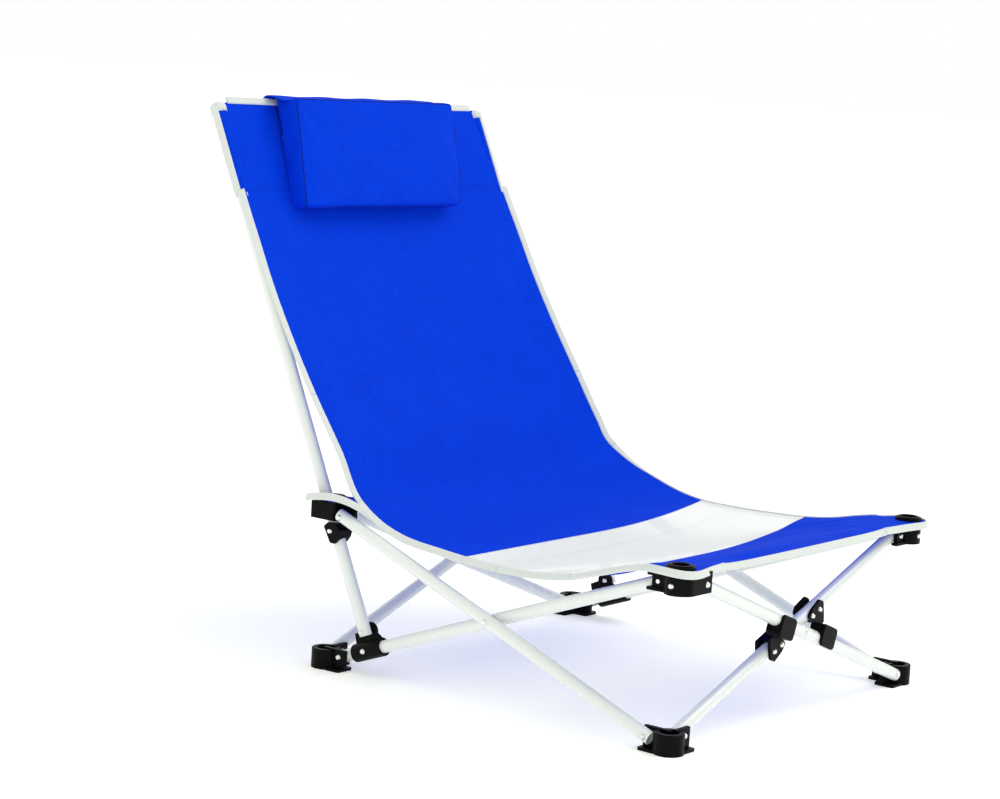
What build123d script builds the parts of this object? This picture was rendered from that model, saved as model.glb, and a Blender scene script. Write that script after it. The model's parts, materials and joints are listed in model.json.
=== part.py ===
from build123d import *
import math
import os

# A folding beach chair. Four scissor pairs of round tube join four feet to four seat hubs on a
# square plan. Two straight back posts hinge on the side tubes and slide through the rear hubs.
# Millimetres, +Z up, the sitter faces -Y, and +X is the sitter's left. z = 0 is the floor.

os.makedirs("parts", exist_ok=True)

# ---- driving dimensions -------------------------------------------------------------------
TUBE_D = 16.0
TUBE_R = TUBE_D / 2
TUBE_WALL = 1.0
CORNER = 260.0            # from the middle of the chair to each corner's upright axis
PIVOT = 235.0             # from the middle of the chair to the tube pivots, along a tube's plane
LANE = 8.5                # a scissor's two tubes run this far either side of the corner axis
OUTER = CORNER + LANE
INNER = CORNER - LANE
FOOT_Z = 17.0             # height of the tube pivots in the feet
HUB_Z = 195.0             # height of the tube pivots in the seat hubs
STUB = 6.0                # tube past its end pivot
RIVET_R = 2.4
RIVET_HOLE_R = 2.48
HEAD_R = 3.5
HEAD_H = 1.7
GAP = 0.3                 # between pieces that move past each other
SWING_R = 10.5            # pocket that a turning tube end needs

FOOT_BOSS_R = 18.0
FOOT_BORE_R = 11.5
FOOT_H = 25.0
SOLE_T = 3.4

HUB_TOP = 211.0
HUB_BOTTOM = 184.0
REAR_HUB_BOTTOM = 189.0
BOSS_R = 17.0
BORE_R = 10.0
EAR_T = 5.2
PATCH_T = 2.2
RING_BOTTOM = 213.7
RING_TOP = 218.2

POST_LEAN = 24.83         # degrees back from upright
POST_PIVOT = (197.6, 56.0)
POST_STUB = 5.0
POST_TOP_Z = 686.0
SLOT_HALF = TUBE_R + 0.4
SLOT_FRONT = 246.9
CHEEK_HALF = 16.5
CHEEK_END = 284.0

FABRIC_T = 2.4
SLING_HALF = 258.0        # half width of the seat panels
BACK_HALF = 250.0         # half width of the back panel, between the posts
SOFTEN = 1.0              # rounding of the mouldings' outer edges

PITCH = math.degrees(math.atan2(HUB_Z - FOOT_Z, 2 * PIVOT))
SPAN = math.hypot(HUB_Z - FOOT_Z, 2 * PIVOT)
LEAN_SIN = math.sin(math.radians(POST_LEAN))
LEAN_COS = math.cos(math.radians(POST_LEAN))
X_AXIS = (1, 0, 0)
Y_AXIS = (0, 1, 0)


# ---- helpers ------------------------------------------------------------------------------
def save(builder, name):
    """Label a finished piece and write it."""
    builder.part.label = name
    export_step(builder.part, f"parts/{name}.step")


def block(x_range, y_range, z_range, mode=Mode.ADD):
    """A box between two values on each axis, in either order."""
    ranges = [sorted(x_range), sorted(y_range), sorted(z_range)]
    middle = [(low + high) / 2 for low, high in ranges]
    size = [high - low for low, high in ranges]
    with Locations(tuple(middle)):
        Box(*size, mode=mode)


def rod(centre, axis, radius, length, mode=Mode.ADD):
    """A round rod or hole, centred on a point."""
    with Locations(Plane(origin=centre, z_dir=axis)):
        Cylinder(radius, length, mode=mode)


def screw_head(seat, way):
    """A low domed head standing on its seat."""
    with Locations(Plane(origin=seat, z_dir=way)):
        Cone(HEAD_R, HEAD_R - 1.0, HEAD_H, align=(Align.CENTER, Align.CENTER, Align.MIN))


def rivet(centre, axis, inside, outside):
    """A rivet along axis, its two heads seated at these distances from centre."""
    way = Vector(*axis)
    point = Vector(*centre)
    rod(tuple(point + way * ((inside + outside) / 2)), axis, RIVET_R, outside - inside + 0.02)
    screw_head(point + way * outside, way)
    screw_head(point + way * inside, way * -1)


# ---- the eight scissor tubes --------------------------------------------------------------
def make_tube(name, low, high, pin_axis):
    """A plain round tube with a pin hole at each end pivot and one at the crossing."""
    start = Vector(*low)
    end = Vector(*high)
    way = (end - start).normalized()
    middle = (start + end) * 0.5
    with BuildPart() as tube:
        with BuildSketch(Plane(origin=start - way * STUB, z_dir=way)):
            Circle(TUBE_R)
            Circle(TUBE_R - TUBE_WALL, mode=Mode.SUBTRACT)
        extrude(amount=SPAN + 2 * STUB)
        for pin in (start, middle, end):
            rod(tuple(pin), pin_axis, RIVET_HOLE_R, TUBE_D + 4, mode=Mode.SUBTRACT)
    save(tube, name)


# A side tube runs in a plane of constant x, and a front or rear tube in one of constant y.
# Each entry is the tube's name, its lane and the end that stands on a foot (+1 rear or left).
side_tubes = [
    ("right_inner_tube", -INNER, 1),
    ("right_outer_tube", -OUTER, -1),
    ("left_inner_tube", INNER, -1),
    ("left_outer_tube", OUTER, 1),
]
cross_tubes = [
    ("front_inner_tube", -INNER, -1),
    ("front_outer_tube", -OUTER, 1),
    ("rear_inner_tube", INNER, 1),
    ("rear_outer_tube", OUTER, -1),
]
for name, lane, foot_end in side_tubes:
    low = (lane, foot_end * PIVOT, FOOT_Z)
    high = (lane, -foot_end * PIVOT, HUB_Z)
    make_tube(name, low, high, X_AXIS)
for name, lane, foot_end in cross_tubes:
    low = (foot_end * PIVOT, lane, FOOT_Z)
    high = (-foot_end * PIVOT, lane, HUB_Z)
    make_tube(name, low, high, Y_AXIS)

# One rivet with a spacer washer holds each pair of tubes where they cross.
CROSS_Z = (FOOT_Z + HUB_Z) / 2
crossings = [
    ("right", (-CORNER, 0, CROSS_Z), (-1, 0, 0)),
    ("left", (CORNER, 0, CROSS_Z), (1, 0, 0)),
    ("front", (0, -CORNER, CROSS_Z), (0, -1, 0)),
    ("rear", (0, CORNER, CROSS_Z), (0, 1, 0)),
]
for name, centre, outward in crossings:
    reach = LANE + TUBE_R + 0.1
    with BuildPart() as crossing:
        rivet(centre, outward, -reach, reach)
        rod(centre, outward, 6.0, 2 * (LANE - TUBE_R) - 0.2)
    save(crossing, f"{name}_crossing_rivet")


# ---- corners ------------------------------------------------------------------------------
# Right is -X, rear is +Y. Each corner says which lane its side tube and its front or rear
# tube use at the hub. At the foot below they use the other lanes.
corners = [
    ("rear_right", -1, 1, OUTER, INNER),
    ("front_right", -1, -1, INNER, OUTER),
    ("front_left", 1, -1, OUTER, INNER),
    ("rear_left", 1, 1, INNER, OUTER),
]


def other(lane):
    """The neighbouring lane."""
    return INNER if lane == OUTER else OUTER


def side_ear(sx, sy, lane, z_range, reach):
    """The upright plate that a side tube is riveted to."""
    if lane == OUTER:
        x_range = (sx * (CORNER + 0.2 - EAR_T), sx * (CORNER + 0.2))
    else:
        x_range = (sx * (CORNER - 0.2), sx * (CORNER - 0.2 + EAR_T))
    block(x_range, (sy * reach, sy * CORNER), z_range)


def cross_ear(sx, sy, lane, z_range, reach, outside=False):
    """The upright plate that a front or rear tube is riveted to."""
    if outside:
        y_range = (sy * (OUTER + TUBE_R + GAP), sy * (OUTER + TUBE_R + GAP + EAR_T - 0.7))
    elif lane == OUTER:
        y_range = (sy * (CORNER + 0.2 - EAR_T), sy * (CORNER + 0.2))
    else:
        y_range = (sy * (CORNER - 0.2), sy * (CORNER - 0.2 + EAR_T))
    block((sx * reach, sx * (CORNER - 9)), y_range, z_range)


def swing_pockets(sx, sy, side_lane, cross_lane, z):
    """Room for the two turning tube ends, and the rivet holes."""
    rod((sx * side_lane, sy * PIVOT, z), X_AXIS, SWING_R, TUBE_D + 0.6, mode=Mode.SUBTRACT)
    rod((sx * PIVOT, sy * cross_lane, z), Y_AXIS, SWING_R, TUBE_D + 0.6, mode=Mode.SUBTRACT)
    rod((sx * CORNER, sy * PIVOT, z), X_AXIS, RIVET_R + 0.04, 60, mode=Mode.SUBTRACT)
    rod((sx * PIVOT, sy * CORNER, z), Y_AXIS, RIVET_R + 0.04, 60, mode=Mode.SUBTRACT)


def make_foot(name, sx, sy, side_lane, cross_lane):
    """A moulded foot: flat sole, boss with an open bore, and two ears at right angles."""
    ear_z = (2.0, 26.5)
    with BuildPart() as foot:
        with Locations((sx * CORNER, sy * CORNER, 0)):
            Cylinder(FOOT_BOSS_R, FOOT_H, align=(Align.CENTER, Align.CENTER, Align.MIN))
        fillet(foot.edges().group_by(Axis.Z)[-1], SOFTEN)
        block((sx * 247, sx * 275), (sy * 226, sy * CORNER), (0, SOLE_T))
        block((sx * 226, sx * CORNER), (sy * 247, sy * 275), (0, SOLE_T))
        fillet(foot.edges().filter_by(Axis.Z).group_by(SortBy.LENGTH)[0], 4)
        side_ear(sx, sy, side_lane, ear_z, 225)
        cross_ear(sx, sy, cross_lane, ear_z, 225)
        block((sx * (side_lane - 5), sx * (side_lane + 5)), (sy * 247, sy * 254), (3, 24))
        block((sx * 247, sx * 254), (sy * (cross_lane - 5), sy * (cross_lane + 5)), (3, 24))
        swing_pockets(sx, sy, side_lane, cross_lane, FOOT_Z)
        with Locations((sx * CORNER, sy * CORNER, FOOT_H)):
            Cylinder(FOOT_BORE_R, 20, align=(Align.CENTER, Align.CENTER, Align.MAX), mode=Mode.SUBTRACT)
    save(foot, f"{name}_foot")


def ribs(x_range, y_range, low, high):
    """Two stiffening ribs along the top and bottom of an ear."""
    block(x_range, y_range, (low, low + 3.6))
    block(x_range, y_range, (high - 6.0, high))


def make_front_hub(name, sx, sy, side_lane, cross_lane):
    """A moulded seat hub: open bored boss and two ears."""
    ear_z = (HUB_BOTTOM + 1, HUB_TOP - 1)
    wide = cross_lane == OUTER
    with BuildPart() as hub:
        with Locations((sx * CORNER, sy * CORNER, HUB_BOTTOM)):
            Cylinder(BOSS_R, HUB_TOP - HUB_BOTTOM, align=(Align.CENTER, Align.CENTER, Align.MIN))
        side_ear(sx, sy, side_lane, ear_z, 226)
        if side_lane == INNER:
            ribs((sx * (CORNER - 0.2), sx * 268), (sy * 221, sy * CORNER), HUB_BOTTOM, 207)
        cross_ear(sx, sy, cross_lane, ear_z, 226, outside=wide)
        if wide:
            block((sx * 249, sx * 276), (sy * CORNER, sy * 281.3), ear_z)
            uprights = hub.edges().filter_by(Axis.Z)
            fillet(uprights.sort_by_distance((sx * 276, sy * 281.3, HUB_Z))[0], 13)
        else:
            ribs((sx * 221, sx * CORNER), (sy * (CORNER - 0.2), sy * 268), HUB_BOTTOM, 207)
        swing_pockets(sx, sy, side_lane, cross_lane, HUB_Z)
        rod((sx * CORNER, sy * CORNER, HUB_Z), (0, 0, 1), BORE_R, 80, mode=Mode.SUBTRACT)
    save(hub, f"{name}_hub")


def make_rear_hub(name, sx, sy, side_lane, cross_lane):
    """A moulded seat hub with a guide, open to the rear, that its back post slides in."""
    ear_z = (REAR_HUB_BOTTOM, HUB_TOP - 1)
    wide = cross_lane == OUTER
    outline_x = (sx * (CORNER - CHEEK_HALF), sx * (CORNER + CHEEK_HALF))
    with BuildPart() as hub:
        block(outline_x, (sy * 243.4, sy * CHEEK_END), (REAR_HUB_BOTTOM, HUB_TOP))
        fillet(hub.edges().filter_by(Axis.Z), 4)
        side_ear(sx, sy, side_lane, ear_z, 224)
        cross_ear(sx, sy, cross_lane, ear_z, 226, outside=wide)
        swing_pockets(sx, sy, side_lane, cross_lane, HUB_Z)
        slot_x = (sx * CORNER - SLOT_HALF, sx * CORNER + SLOT_HALF)
        block(slot_x, (sy * SLOT_FRONT, sy * 330), (150, 240), mode=Mode.SUBTRACT)
    save(hub, f"{name}_hub")


def make_ring(name, sx, sy, rear):
    """The black ring that clamps the fabric corner on top of the hub."""
    with BuildPart() as ring:
        with Locations((sx * CORNER, sy * CORNER, RING_BOTTOM)):
            Cylinder(17, 3.0, align=(Align.CENTER, Align.CENTER, Align.MIN))
            Cylinder(14.5, RING_TOP - RING_BOTTOM, align=(Align.CENTER, Align.CENTER, Align.MIN))
        if rear:
            x_range = (sx * CORNER - 14.5, sx * CORNER + 14.5)
            block(x_range, (sy * CORNER, sy * 286), (RING_BOTTOM, RING_BOTTOM + 3.0))
            slot_x = (sx * CORNER - SLOT_HALF, sx * CORNER + SLOT_HALF)
            block(slot_x, (sy * SLOT_FRONT, sy * 330), (150, 240), mode=Mode.SUBTRACT)
        else:
            rod((sx * CORNER, sy * CORNER, RING_TOP), (0, 0, 1), BORE_R, 60, mode=Mode.SUBTRACT)
            rim = ring.edges().filter_by(GeomType.CIRCLE).group_by(Axis.Z)[-1]
            fillet(rim, 1.2)
    save(ring, f"{name}_ring")


def make_patch(name, sx, sy, rear):
    """The reinforced fabric corner between hub and ring."""
    with BuildPart() as patch:
        low = HUB_TOP + 0.25
        block((sx * 222, sx * 284), (sy * 217, sy * 284), (low, low + PATCH_T))
        fillet(patch.edges().filter_by(Axis.Z), 14)
        if rear:
            slot_x = (sx * CORNER - SLOT_HALF - 0.3, sx * CORNER + SLOT_HALF + 0.3)
            block(slot_x, (sy * (SLOT_FRONT - 0.5), sy * 330), (150, 240), mode=Mode.SUBTRACT)
        else:
            rod((sx * CORNER, sy * CORNER, low), (0, 0, 1), BORE_R, 60, mode=Mode.SUBTRACT)
    save(patch, f"{name}_corner_patch")


def make_corner_rivets(name, sx, sy, side_lane, cross_lane, z, outside, boss_screw):
    """The two tube rivets of a corner, and the screw in the boss where there is one."""
    with BuildPart() as pins:
        for lane, centre, out, past in (
            (side_lane, (sx * CORNER, sy * PIVOT, z), (sx, 0, 0), False),
            (cross_lane, (sx * PIVOT, sy * CORNER, z), (0, sy, 0), outside),
        ):
            if lane == OUTER:
                far = LANE + TUBE_R + 0.12
                if past:
                    far = LANE + TUBE_R + GAP + EAR_T - 0.6
                near = 0.1 - EAR_T
                if past:
                    near = LANE - TUBE_R - 0.12
            else:
                far = EAR_T - 0.1
                near = -LANE - TUBE_R - 0.12
            rivet(centre, out, near, far)
        if boss_screw:
            centre, out, seat = boss_screw
            screw_head(Vector(*centre) + Vector(*out) * seat, Vector(*out))
    return pins


for name, sx, sy, side_lane, cross_lane in corners:
    rear = sy > 0
    wide = cross_lane == OUTER
    make_foot(name, sx, sy, other(side_lane), other(cross_lane))
    pins = make_corner_rivets(name, sx, sy, other(side_lane), other(cross_lane), FOOT_Z, False, None)
    save(pins, f"{name}_foot_rivets")
    if rear:
        make_rear_hub(name, sx, sy, side_lane, cross_lane)
        boss_screw = None
    else:
        make_front_hub(name, sx, sy, side_lane, cross_lane)
        if side_lane == INNER:
            boss_screw = ((sx * CORNER, sy * CORNER, HUB_Z), (sx, 0, 0), BOSS_R + 0.05)
        else:
            boss_screw = ((sx * CORNER, sy * CORNER, HUB_Z), (0, sy, 0), BOSS_R + 0.05)
    pins = make_corner_rivets(name, sx, sy, side_lane, cross_lane, HUB_Z, wide, boss_screw)
    save(pins, f"{name}_hub_rivets")
    make_ring(name, sx, sy, rear)
    make_patch(name, sx, sy, rear)


# ---- back posts ---------------------------------------------------------------------------
def post_point(x, along):
    """A point on a back post's axis, measured up from its pivot."""
    return (x, POST_PIVOT[0] + along * LEAN_SIN, POST_PIVOT[1] + along * LEAN_COS)


POST_WAY = (0, LEAN_SIN, LEAN_COS)
POST_LENGTH = (POST_TOP_Z - POST_PIVOT[1]) / LEAN_COS
COLLAR_ALONG = (175.0 - POST_PIVOT[1]) / LEAN_COS
COLLAR_HALF = 13.0
POCKET_START = 583.0
POCKET_R = 9.6


def tube_point(x, along, up):
    """A point beside the side tube that rises from the rear foot, along it and square to it."""
    slope = math.radians(PITCH)
    y = PIVOT - along * math.cos(slope) + up * math.sin(slope)
    z = FOOT_Z + along * math.sin(slope) + up * math.cos(slope)
    return (x, y, z)


def make_post(name, sx):
    """A straight back post with a pin hole near its foot."""
    with BuildPart() as post:
        with BuildSketch(Plane(origin=post_point(sx * CORNER, -POST_STUB), z_dir=POST_WAY)):
            Circle(TUBE_R)
            Circle(TUBE_R - TUBE_WALL, mode=Mode.SUBTRACT)
        extrude(amount=POST_LENGTH + POST_STUB)
        rod(post_point(sx * CORNER, 0), X_AXIS, RIVET_HOLE_R, 30, mode=Mode.SUBTRACT)
    save(post, f"{name}_post")


def make_collar(name, sx):
    """The moulded collar screwed to the post, which the hub comes down on."""
    with BuildPart() as collar:
        with BuildSketch(Plane.YZ.offset(sx * CORNER - COLLAR_HALF)):
            with BuildLine():
                outline = [(263.5, 180), (257, 185.6), (243, 184.8), (237, 177), (239, 168)]
                outline += [(245, 160), (252, 160.5)]
                Polyline(outline, close=True)
            make_face()
        extrude(amount=2 * COLLAR_HALF)
        fillet(collar.edges().filter_by(Axis.X), 2)
        fillet(collar.edges().group_by(Axis.X)[0] + collar.edges().group_by(Axis.X)[-1], SOFTEN)
        rod(post_point(sx * CORNER, COLLAR_ALONG), POST_WAY, TUBE_R + 0.04, 90, mode=Mode.SUBTRACT)
    save(collar, f"{name}_post_collar")
    with BuildPart() as screw:
        seat = post_point(sx * (CORNER + COLLAR_HALF + 0.02), COLLAR_ALONG)
        screw_head(seat, (sx, 0, 0))
    save(screw, f"{name}_collar_screw")


def make_bracket(name, sx, lane):
    """The moulded bracket that clamps the side tube and carries the post's pivot."""
    slope = math.radians(PITCH)
    tube_way = (0, -math.cos(slope), math.sin(slope))
    plate_x = (sx * 251.7, sx * 247.7)
    with BuildPart() as bracket:
        with BuildSketch(Plane(origin=tube_point(sx * lane, 20, 0), z_dir=tube_way)):
            Circle(11.6)
        extrude(amount=46)
        with BuildSketch(Plane.YZ.offset(min(plate_x))):
            with BuildLine():
                corners_yz = [tube_point(0, 22, 4), tube_point(0, 24, 24), tube_point(0, 52, 26)]
                corners_yz += [tube_point(0, 64, 12), tube_point(0, 64, 4)]
                Polyline([point[1:] for point in corners_yz], close=True)
            make_face()
            with Locations(POST_PIVOT):
                Circle(11)
        extrude(amount=4)
        if lane == OUTER:
            with BuildSketch(Plane.YZ.offset(min(sx * 247.7, sx * 264))):
                with BuildLine():
                    web = [tube_point(0, 22, -6), tube_point(0, 22, 9)]
                    web += [tube_point(0, 64, 9), tube_point(0, 64, -6)]
                    Polyline([point[1:] for point in web], close=True)
                make_face()
            extrude(amount=16.3)
        rod(tube_point(sx * lane, 43, 0), tube_way, TUBE_R + 0.05, 90, mode=Mode.SUBTRACT)
        rod((sx * CORNER, *POST_PIVOT), X_AXIS, RIVET_R + 0.04, 60, mode=Mode.SUBTRACT)
    save(bracket, f"{name}_post_bracket")
    with BuildPart() as pins:
        rivet((sx * CORNER, *POST_PIVOT), (sx, 0, 0), -12.35, TUBE_R + 0.12)
        screw_head(tube_point(sx * (lane + 11.62), 40, 0), (sx, 0, 0))
    save(pins, f"{name}_bracket_fasteners")


for name, sx, lane in (("right", -1, INNER), ("left", 1, OUTER)):
    make_post(name, sx)
    make_collar(name, sx)
    make_bracket(name, sx, lane)


# ---- stop clips on the front inner tube -----------------------------------------------------
CLIP_Y = -(INNER + TUBE_R + 0.15)
CLIP_REAR_Y = -(INNER - TUBE_R - 0.15 - 3.4)
CLIP_T = 3.4
TROUGH_R = TUBE_R + 0.25
TROUGH_WALL = 3.2
TROUGH_START = 33.0
TROUGH_LENGTH = 34.0

# Outlines of a clip's front plate, rear plate and web, along the inner tube and square to it.
CLIP_FRONT = [(28, 2.5), (38, 8.5), (56, 12.5), (63, 6), (61, -7), (58, -20), (48, -20), (34, -8)]
CLIP_REAR = [(27, 5), (33, 11), (56, 12.5), (62, 6), (58, -12), (32, -12)]
CLIP_WEB = [(34, -8.4), (50, -8.4), (52, -11.6), (38, -11.6)]


def make_clip(name, side):
    """A moulded clip on the inner tube whose open trough stops the outer tube."""
    slope = math.radians(PITCH)
    along = Vector(side * math.cos(slope), 0, side * math.sin(slope))
    outer_way = Vector(side * math.cos(slope), 0, -side * math.sin(slope))
    toward_inner = Vector(side * math.sin(slope), 0, side * math.cos(slope))
    front_face = Plane(origin=(0, CLIP_Y, CROSS_Z), x_dir=along, z_dir=(0, -1, 0))
    rear_face = Plane(origin=(0, CLIP_REAR_Y, CROSS_Z), x_dir=along, z_dir=(0, -1, 0))
    trough_start = Vector(0, -OUTER, CROSS_Z) + outer_way * TROUGH_START
    with BuildPart() as clip:
        with BuildSketch(front_face):
            with BuildLine():
                Polyline(CLIP_FRONT, close=True)
            make_face()
            fillet(vertices(), 2.5)
        extrude(amount=CLIP_T)
        with BuildSketch(rear_face):
            with BuildLine():
                Polyline(CLIP_REAR, close=True)
            make_face()
            fillet(vertices(), 2.5)
        extrude(amount=CLIP_T)
        with BuildSketch(front_face):
            with BuildLine():
                Polyline(CLIP_WEB, close=True)
            make_face()
        extrude(amount=CLIP_REAR_Y - CLIP_Y, dir=(0, 1, 0))
        seat = trough_start + Vector(0, OUTER + CLIP_Y, 0)
        with BuildSketch(Plane(origin=seat, x_dir=outer_way, z_dir=(0, -1, 0))):
            with Locations((TROUGH_LENGTH / 2, 5.5)):
                RectangleRounded(TROUGH_LENGTH, 27, 5)
        extrude(amount=OUTER + CLIP_Y + TROUGH_R + TROUGH_WALL)
        fillet(clip.faces().sort_by(Axis.Y)[0].edges(), 1.8)
        with BuildSketch(Plane(origin=trough_start, x_dir=toward_inner, z_dir=outer_way)):
            with Locations((-10, TROUGH_R - 20)):
                Rectangle(20, 40)
        extrude(amount=TROUGH_LENGTH, mode=Mode.SUBTRACT)
        rod((0, -INNER, CROSS_Z), along, TUBE_R + 0.06, 160, mode=Mode.SUBTRACT)
        rod((0, -OUTER, CROSS_Z), outer_way, TROUGH_R, 160, mode=Mode.SUBTRACT)
    save(clip, f"front_{name}_stop_clip")
    return [Vector(0, CLIP_Y - CLIP_T - 0.02, CROSS_Z) + along * at for at in (36, 53)]


screw_seats = make_clip("right", -1) + make_clip("left", 1)
with BuildPart() as clip_screws:
    for seat in screw_seats:
        screw_head(seat, (0, -1, 0))
save(clip_screws, "stop_clip_screws")


# ---- fabric -------------------------------------------------------------------------------
def sheet_outline(line, thickness):
    """Both sides of a thin sheet whose middle follows a line of points."""
    upper = []
    lower = []
    for index, point in enumerate(line):
        before = line[max(index - 1, 0)]
        after = line[min(index + 1, len(line) - 1)]
        turn = math.atan2(after[1] - before[1], after[0] - before[0]) + math.pi / 2
        offset_y = math.cos(turn) * thickness / 2
        offset_z = math.sin(turn) * thickness / 2
        upper.append((point[0] + offset_y, point[1] + offset_z))
        lower.append((point[0] - offset_y, point[1] - offset_z))
    return upper + lower[::-1]


def make_panel(name, line, half_width):
    """A sheet of fabric across the chair, from its side profile in (y, z)."""
    with BuildPart() as panel:
        with BuildSketch(Plane.YZ.offset(-half_width)):
            with BuildLine():
                Polyline(sheet_outline(line, FABRIC_T), close=True)
            make_face()
        extrude(amount=2 * half_width)
    save(panel, name)


POST_TAN = math.tan(math.radians(POST_LEAN))
BACK_TOP = (POST_PIVOT[0] + (689 - POST_PIVOT[1]) * POST_TAN, 689.0)
BACK_LEAVES_POST = (POST_PIVOT[0] + (476 - POST_PIVOT[1]) * POST_TAN, 476.0)
profiles = [
    ("back_panel", [BACK_TOP, BACK_LEAVES_POST, (345, 406), (300, 339)], BACK_HALF),
    ("lower_back_panel", [(299.7, 338.5), (253, 273), (233, 242), (213, 211)], 256),
    ("seat_panel", [(211.6, 210), (181, 195), (148, 186), (85, 179.5), (52, 177)], SLING_HALF),
    ("rear_mesh_panel", [(51.5, 177), (25, 174.3), (-1, 172.5)], SLING_HALF),
    ("front_mesh_panel", [(-1.5, 172.5), (-50, 171.5), (-108.7, 174.5)], SLING_HALF),
    ("front_panel", [(-109.2, 174.5), (-151, 184), (-190, 196.5), (-214, 203)], SLING_HALF),
    ("front_hem", [(-214.5, 203.1), (-245, 207), (-272, 209)], 220),
]
for name, line, half_width in profiles:
    make_panel(name, line, half_width)

for name, sx in (("right", -1), ("left", 1)):
    start = post_point(sx * CORNER, POCKET_START)
    with BuildPart() as pocket:
        with BuildSketch(Plane(origin=start, z_dir=POST_WAY)):
            Circle(POCKET_R)
        extrude(amount=POST_LENGTH - POCKET_START + 2.6)
        with BuildSketch(Plane(origin=start, z_dir=POST_WAY)):
            Circle(TUBE_R + 0.2)
        extrude(amount=POST_LENGTH - POCKET_START + 0.8, mode=Mode.SUBTRACT)
        fillet(pocket.edges().group_by(Axis.Z)[-1], 1.0)
    save(pocket, f"{name}_post_pocket")

with BuildPart() as pillow:
    with BuildSketch(Plane.YZ.offset(-159)):
        with BuildLine():
            Polyline([(487, 694), (427, 561), (402, 565), (437, 701)], close=True)
        make_face()
    extrude(amount=318)
    fillet(pillow.edges(), 5)
save(pillow, "head_pillow")
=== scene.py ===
"""The looks of a folding beach chair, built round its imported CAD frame.

Metres, in the CAD's frame: +Z up, the sitter faces -Y, and -X is the sitter's right.
"""
import json
import math

import bpy
import numpy as np
from mathutils import Matrix, Vector, noise
from mathutils.bvhtree import BVHTree


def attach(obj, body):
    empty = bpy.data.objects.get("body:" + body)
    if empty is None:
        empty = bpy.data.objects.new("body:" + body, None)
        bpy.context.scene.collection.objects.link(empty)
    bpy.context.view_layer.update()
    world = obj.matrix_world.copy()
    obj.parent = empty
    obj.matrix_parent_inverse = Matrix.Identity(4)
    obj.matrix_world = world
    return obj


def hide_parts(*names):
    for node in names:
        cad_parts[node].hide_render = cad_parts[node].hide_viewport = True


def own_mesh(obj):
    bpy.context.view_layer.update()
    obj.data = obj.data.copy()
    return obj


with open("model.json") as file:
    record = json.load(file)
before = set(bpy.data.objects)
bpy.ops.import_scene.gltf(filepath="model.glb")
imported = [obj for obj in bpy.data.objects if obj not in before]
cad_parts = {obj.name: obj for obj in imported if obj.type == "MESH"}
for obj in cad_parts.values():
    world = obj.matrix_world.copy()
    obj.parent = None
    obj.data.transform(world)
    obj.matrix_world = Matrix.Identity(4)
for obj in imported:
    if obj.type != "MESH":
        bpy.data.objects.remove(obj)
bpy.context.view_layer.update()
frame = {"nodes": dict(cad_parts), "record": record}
MM = 0.001


# ---- camera -------------------------------------------------------------------------------
def make_camera():
    """A long lens at a low three-quarter view, rolled a few degrees."""
    forward = Vector((0.7854, 0.6048, -0.1317)).normalized()
    up = Vector((0.0685, 0.1266, 0.9896))
    right = forward.cross(up).normalized()
    up = right.cross(forward)
    data = bpy.data.cameras.new("camera")
    data.sensor_width = 36
    data.lens = 92.14
    camera = bpy.data.objects.new("camera", data)
    axes = Matrix((right, up, -forward)).transposed().to_4x4()
    camera.matrix_world = Matrix.Translation(Vector((-2621.7, -1809.9, 766.1)) * MM) @ axes
    bpy.context.scene.collection.objects.link(camera)
    bpy.context.scene.camera = camera


make_camera()


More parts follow.
